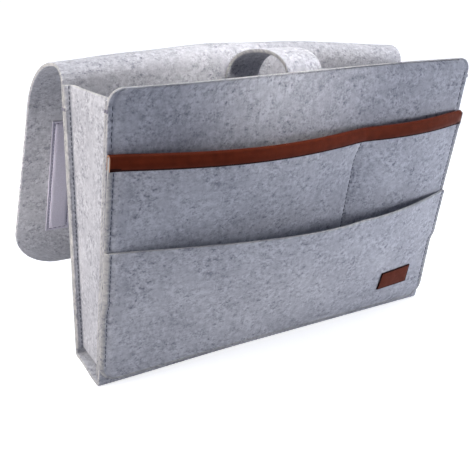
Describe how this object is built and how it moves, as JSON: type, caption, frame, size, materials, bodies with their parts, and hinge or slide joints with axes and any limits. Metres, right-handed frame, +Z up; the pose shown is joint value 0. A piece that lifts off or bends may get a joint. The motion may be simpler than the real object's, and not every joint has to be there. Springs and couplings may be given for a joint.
{
  "type": "bedside caddy",
  "caption": "Felt bedside caddy: a wedge bag with gussets, bowed front pockets with a leather binding, a strap over its mouth and a long hinged rear flap.",
  "frame": {"origin": "middle of the flat underside that the caddy stands on", "axes": "+Z up, +X across the bag to its right seen from the front, -Y towards the front pockets"},
  "size_m": [0.35, 0.2842, 0.259],
  "materials": {
    "felt": "grey melange needle felt, raw cut edges",
    "leather": "smooth brown leather, semi-matt",
    "hook_tape": "woven hook and loop tape"
  },
  "bodies": {
    "bag": {"base_panel": "felt", "front_panel": "felt", "back_panel": "felt", "left_gusset": "felt", "right_gusset": "felt", "mid_pocket": "felt", "low_pocket": "felt", "closing_strap": "felt", "pocket_trim": "leather", "leather_patch": "leather", "left_back_tape": "hook_tape", "right_back_tape": "hook_tape"},
    "flap": {"flap_panel": "felt", "left_flap_tape": "hook_tape", "right_flap_tape": "hook_tape"}
  },
  "joints": [
    {"name": "flap_fold", "type": "hinge", "parent": "bag", "child": "flap", "pos_m": [0, 0.041, 0.2525], "axis": [1, 0, 0], "range_deg": [-35, 150], "stiffness_Nm_per_rad": 0.15, "springref_deg": 31.51}
  ]
}
